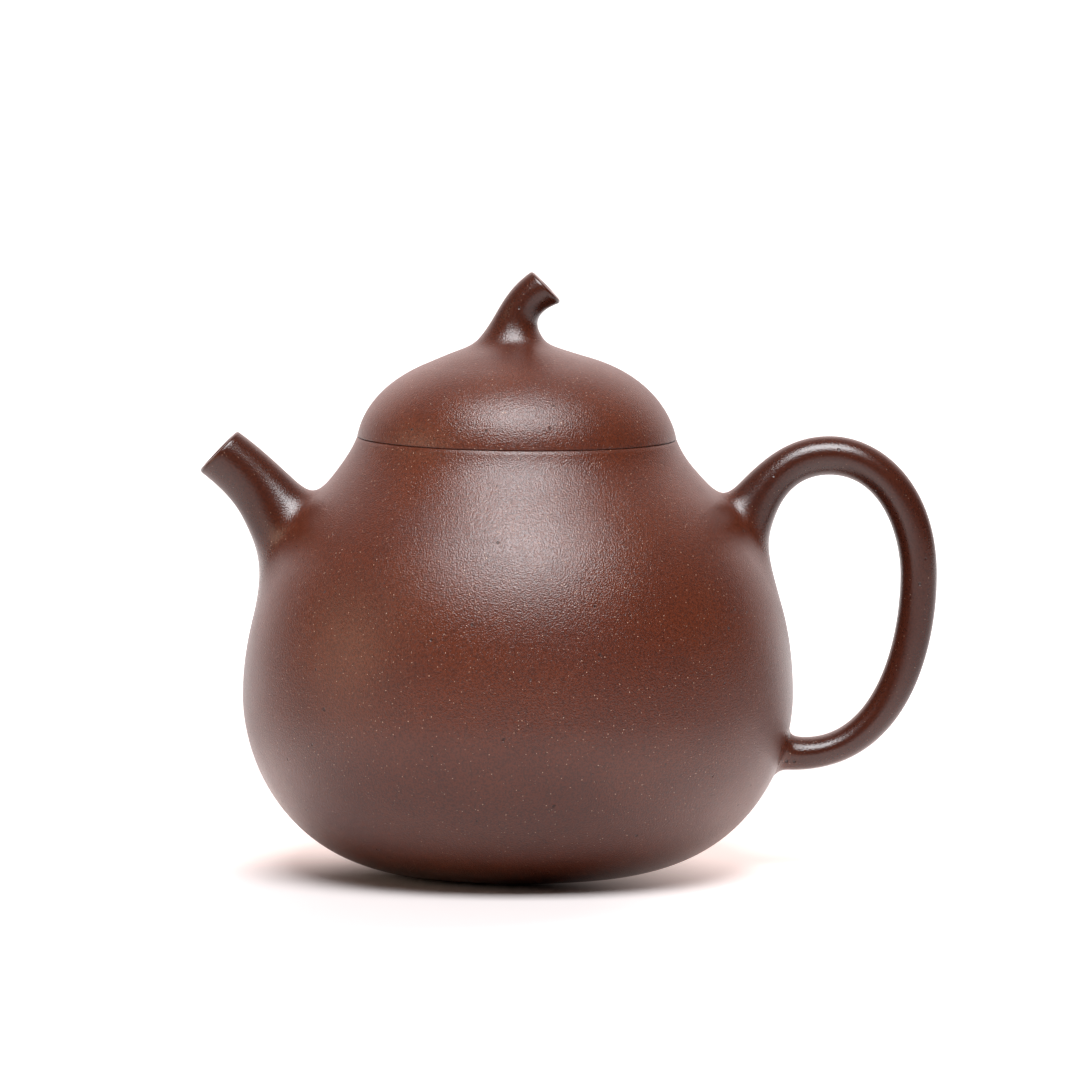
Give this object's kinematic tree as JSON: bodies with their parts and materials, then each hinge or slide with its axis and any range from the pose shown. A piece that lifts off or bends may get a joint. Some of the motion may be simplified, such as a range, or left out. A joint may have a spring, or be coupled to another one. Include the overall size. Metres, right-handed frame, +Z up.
{
  "type": "clay teapot",
  "caption": "Round unglazed clay teapot, flush lid with a bent stem knob, short straight spout with a ball strainer behind it, and an ear-shaped side handle.",
  "frame": {"origin": "centre of the foot's contact plane, on the axis of the body", "axes": "+Z up along the body's axis, +X towards the handle, -X towards the spout, +Y to the far side"},
  "size_m": [0.1362, 0.102, 0.1107],
  "materials": {
    "clay": "unglazed purple-brown stoneware, fine orange-peel grain, satin"
  },
  "bodies": {
    "pot": {"base_disc": "clay", "body_wall": "clay", "shoulder_disc": "clay", "mouth_ring": "clay", "spout": "clay", "strainer": "clay", "handle": "clay"},
    "lid": {"lid_dome": "clay", "lid_seat_ring": "clay", "lid_collar": "clay", "stem_knob": "clay"}
  },
  "joints": [
    {"name": "lid_lift", "type": "slide", "parent": "pot", "child": "lid", "axis": [0, 0, 1], "range_m": [0, 0.06]}
  ]
}
